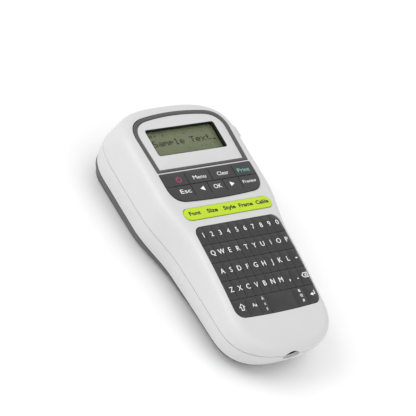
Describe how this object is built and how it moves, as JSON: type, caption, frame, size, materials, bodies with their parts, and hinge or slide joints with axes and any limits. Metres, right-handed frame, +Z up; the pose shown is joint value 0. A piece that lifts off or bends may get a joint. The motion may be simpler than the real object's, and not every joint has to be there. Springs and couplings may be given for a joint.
{
  "type": "label maker",
  "caption": "Handheld label maker with a waisted white body, framed display, dark function and letter keys, a lime style bar and a removable back cover.",
  "frame": {"origin": "under the middle of the object, on the flat back cover it lies on", "axes": "+X to the right of someone facing the keys, +Y from grip to head, +Z up out of the keys"},
  "size_m": [0.1086, 0.2086, 0.0583],
  "materials": {
    "white_abs": "satin moulded",
    "grey_abs": "satin moulded",
    "steel": "zinc plated",
    "clear_lens": "clear acrylic",
    "lcd_glass": "reflective LCD",
    "charcoal_panel": "fine matt",
    "lime_rubber": "satin silicone",
    "charcoal_rubber": "matt silicone",
    "board": "solder mask",
    "black_plastic": "satin moulded",
    "battery_jacket": "printed sleeve",
    "contact_metal": "nickel plated spring steel",
    "blade_steel": "ground",
    "gear_plastic": "moulded acetal",
    "brass": "machined",
    "roller_rubber": "ground rubber",
    "print_head": "ceramic on aluminium",
    "tape": "wound label tape"
  },
  "bodies": {
    "chassis": {"front_housing": "white_abs", "rear_housing": "white_abs", "housing_screw_1": "steel", "housing_screw_2": "steel", "housing_screw_3": "steel", "housing_screw_4": "steel", "display_frame": "grey_abs", "display_plate": "white_abs", "display_lens": "clear_lens", "lcd_module": "lcd_glass", "key_mat": "charcoal_rubber", "main_board": "board", "power_inlet": "black_plastic", "battery_1": "battery_jacket", "battery_2": "battery_jacket", "battery_3": "battery_jacket", "battery_4": "battery_jacket", "battery_5": "battery_jacket", "battery_6": "battery_jacket", "contact_plate_grip": "contact_metal", "contact_plate_head": "contact_metal", "cutter_spring": "steel", "drive_motor": "steel", "print_head": "print_head"},
    "back_cover": {"back_cover": "grey_abs"},
    "key_power": {"key_power": "charcoal_panel"},
    "key_menu": {"key_menu": "charcoal_panel"},
    "key_clear": {"key_clear": "charcoal_panel"},
    "key_print": {"key_print": "charcoal_panel"},
    "key_escape": {"key_escape": "charcoal_panel"},
    "key_left": {"key_left": "charcoal_panel"},
    "key_ok": {"key_ok": "charcoal_panel"},
    "key_right": {"key_right": "charcoal_panel"},
    "key_preview": {"key_preview": "charcoal_panel"},
    "key_font": {"key_font": "lime_rubber"},
    "key_size": {"key_size": "lime_rubber"},
    "key_style": {"key_style": "lime_rubber"},
    "key_frame": {"key_frame": "lime_rubber"},
    "key_cable": {"key_cable": "lime_rubber"},
    "key_row_numbers": {"key_row_numbers": "charcoal_rubber"},
    "key_row_upper": {"key_row_upper": "charcoal_rubber"},
    "key_row_home": {"key_row_home": "charcoal_rubber"},
    "key_row_lower": {"key_row_lower": "charcoal_rubber"},
    "key_shift": {"key_shift": "charcoal_rubber"},
    "key_case": {"key_case": "charcoal_rubber"},
    "key_accent": {"key_accent": "charcoal_rubber"},
    "key_space": {"key_space": "charcoal_rubber"},
    "key_symbol": {"key_symbol": "charcoal_rubber"},
    "key_enter": {"key_enter": "charcoal_rubber"},
    "cutter": {"cutter_lever": "white_abs", "cutter_blade": "blade_steel"},
    "motor_pinion": {"motor_pinion": "brass"},
    "idler_gear": {"idler_gear": "gear_plastic"},
    "roller_arm": {"roller_arm": "steel"},
    "platen": {"platen_roller": "roller_rubber", "platen_gear": "gear_plastic"},
    "feed_roller": {"feed_roller": "roller_rubber"},
    "ribbon_shaft": {"ribbon_shaft": "gear_plastic"},
    "cassette": {"tape_cassette": "black_plastic"},
    "tape_roll": {"tape_roll": "tape"}
  },
  "joints": [
    {"name": "key_power_press", "type": "slide", "parent": "chassis", "child": "key_power", "axis": [0, 0.0703, -0.9975], "range_m": [0, 0.0009], "stiffness_N_per_m": 400, "springref_m": -0.0006},
    {"name": "key_menu_press", "type": "slide", "parent": "chassis", "child": "key_menu", "axis": [0, 0.0703, -0.9975], "range_m": [0, 0.0009], "stiffness_N_per_m": 400, "springref_m": -0.0006},
    {"name": "key_clear_press", "type": "slide", "parent": "chassis", "child": "key_clear", "axis": [0, 0.0703, -0.9975], "range_m": [0, 0.0009], "stiffness_N_per_m": 400, "springref_m": -0.0006},
    {"name": "key_print_press", "type": "slide", "parent": "chassis", "child": "key_print", "axis": [0, 0.0703, -0.9975], "range_m": [0, 0.0009], "stiffness_N_per_m": 400, "springref_m": -0.0006},
    {"name": "key_escape_press", "type": "slide", "parent": "chassis", "child": "key_escape", "axis": [0, 0.0711, -0.9975], "range_m": [0, 0.0009], "stiffness_N_per_m": 400, "springref_m": -0.0006},
    {"name": "key_left_press", "type": "slide", "parent": "chassis", "child": "key_left", "axis": [0, 0.0711, -0.9975], "range_m": [0, 0.0009], "stiffness_N_per_m": 400, "springref_m": -0.0006},
    {"name": "key_ok_press", "type": "slide", "parent": "chassis", "child": "key_ok", "axis": [0, 0.0711, -0.9975], "range_m": [0, 0.0009], "stiffness_N_per_m": 400, "springref_m": -0.0006},
    {"name": "key_right_press", "type": "slide", "parent": "chassis", "child": "key_right", "axis": [0, 0.0711, -0.9975], "range_m": [0, 0.0009], "stiffness_N_per_m": 400, "springref_m": -0.0006},
    {"name": "key_preview_press", "type": "slide", "parent": "chassis", "child": "key_preview", "axis": [0, 0.0711, -0.9975], "range_m": [0, 0.0009], "stiffness_N_per_m": 400, "springref_m": -0.0006},
    {"name": "key_font_press", "type": "slide", "parent": "chassis", "child": "key_font", "axis": [0, 0.0756, -0.9971], "range_m": [0, 0.0009], "stiffness_N_per_m": 400, "springref_m": -0.0006},
    {"name": "key_size_press", "type": "slide", "parent": "chassis", "child": "key_size", "axis": [0, 0.0756, -0.9971], "range_m": [0, 0.0009], "stiffness_N_per_m": 400, "springref_m": -0.0006},
    {"name": "key_style_press", "type": "slide", "parent": "chassis", "child": "key_style", "axis": [0, 0.0756, -0.9971], "range_m": [0, 0.0009], "stiffness_N_per_m": 400, "springref_m": -0.0006},
    {"name": "key_frame_press", "type": "slide", "parent": "chassis", "child": "key_frame", "axis": [0, 0.0756, -0.9971], "range_m": [0, 0.0009], "stiffness_N_per_m": 400, "springref_m": -0.0006},
    {"name": "key_cable_press", "type": "slide", "parent": "chassis", "child": "key_cable", "axis": [0, 0.0756, -0.9971], "range_m": [0, 0.0009], "stiffness_N_per_m": 400, "springref_m": -0.0006},
    {"name": "key_row_numbers_press", "type": "slide", "parent": "chassis", "child": "key_row_numbers", "axis": [0, 0.0921, -0.9958], "range_m": [0, 0.0009], "stiffness_N_per_m": 400, "springref_m": -0.0006},
    {"name": "key_row_upper_press", "type": "slide", "parent": "chassis", "child": "key_row_upper", "axis": [0, 0.1202, -0.9927], "range_m": [0, 0.0009], "stiffness_N_per_m": 400, "springref_m": -0.0006},
    {"name": "key_row_home_press", "type": "slide", "parent": "chassis", "child": "key_row_home", "axis": [0, 0.1527, -0.9883], "range_m": [0, 0.0009], "stiffness_N_per_m": 400, "springref_m": -0.0006},
    {"name": "key_row_lower_press", "type": "slide", "parent": "chassis", "child": "key_row_lower", "axis": [0, 0.1744, -0.9847], "range_m": [0, 0.0009], "stiffness_N_per_m": 400, "springref_m": -0.0006},
    {"name": "key_shift_press", "type": "slide", "parent": "chassis", "child": "key_shift", "axis": [0, 0.1825, -0.9832], "range_m": [0, 0.0009], "stiffness_N_per_m": 400, "springref_m": -0.0006},
    {"name": "key_case_press", "type": "slide", "parent": "chassis", "child": "key_case", "axis": [0, 0.1825, -0.9832], "range_m": [0, 0.0009], "stiffness_N_per_m": 400, "springref_m": -0.0006},
    {"name": "key_accent_press", "type": "slide", "parent": "chassis", "child": "key_accent", "axis": [0, 0.1825, -0.9832], "range_m": [0, 0.0009], "stiffness_N_per_m": 400, "springref_m": -0.0006},
    {"name": "key_space_press", "type": "slide", "parent": "chassis", "child": "key_space", "axis": [0, 0.1825, -0.9832], "range_m": [0, 0.0009], "stiffness_N_per_m": 400, "springref_m": -0.0006},
    {"name": "key_symbol_press", "type": "slide", "parent": "chassis", "child": "key_symbol", "axis": [0, 0.1825, -0.9832], "range_m": [0, 0.0009], "stiffness_N_per_m": 400, "springref_m": -0.0006},
    {"name": "key_enter_press", "type": "slide", "parent": "chassis", "child": "key_enter", "axis": [0, 0.1825, -0.9832], "range_m": [0, 0.0009], "stiffness_N_per_m": 400, "springref_m": -0.0006},
    {"name": "back_cover_slide", "type": "slide", "parent": "chassis", "child": "back_cover", "axis": [0, 0, -1], "range_m": [0, 0.06]},
    {"name": "cassette_lift", "type": "slide", "parent": "chassis", "child": "cassette", "axis": [0, 0, -1], "range_m": [0, 0.03]},
    {"name": "roller_arm_swing", "type": "hinge", "parent": "chassis", "child": "roller_arm", "pos_m": [0.0278, 0.06442, 0.014], "axis": [0, 0, -1], "range_deg": [0, 12]},
    {"name": "cutter_press", "type": "hinge", "parent": "chassis", "child": "cutter", "pos_m": [0.043, 0.05092, 0.036], "axis": [0, 0, 1], "range_deg": [0, 11], "stiffness_Nm_per_rad": 0.25, "springref_deg": -8.59},
    {"name": "tape_roll_spin", "type": "hinge", "parent": "cassette", "child": "tape_roll", "pos_m": [-0.0216, 0.05792, 0.013], "axis": [0, 0, 1], "continuous": true},
    {"name": "platen_spin", "type": "hinge", "parent": "roller_arm", "child": "platen", "pos_m": [0.0217, 0.07542, 0.014], "axis": [0, 0, 1], "continuous": true},
    {"name": "feed_roller_spin", "type": "hinge", "parent": "roller_arm", "child": "feed_roller", "pos_m": [0.0217, 0.08332, 0.014], "axis": [0, 0, 1], "continuous": true},
    {"name": "idler_spin", "type": "hinge", "parent": "chassis", "child": "idler_gear", "pos_m": [0.01947, 0.05685, 0.027], "axis": [0, 0, 1], "continuous": true},
    {"name": "motor_spin", "type": "hinge", "parent": "chassis", "child": "motor_pinion", "pos_m": [0.0305, 0.04392, 0.027], "axis": [0, 0, 1], "continuous": true},
    {"name": "ribbon_spin", "type": "hinge", "parent": "chassis", "child": "ribbon_shaft", "pos_m": [0.00105, 0.0601, 0.027], "axis": [0, 0, 1], "continuous": true}
  ],
  "couplings": [
    {"joint": "cassette_lift", "follows": "back_cover_slide", "ratio": 0.5},
    {"joint": "roller_arm_swing", "follows": "back_cover_slide", "rad_per_m": 3.4872},
    {"joint": "platen_spin", "follows": "tape_roll_spin", "ratio": 4.625},
    {"joint": "feed_roller_spin", "follows": "tape_roll_spin", "ratio": 6.3793},
    {"joint": "idler_spin", "follows": "tape_roll_spin", "ratio": -2.6429},
    {"joint": "motor_spin", "follows": "tape_roll_spin", "ratio": 6.1667},
    {"joint": "ribbon_spin", "follows": "tape_roll_spin", "ratio": 4.625}
  ]
}
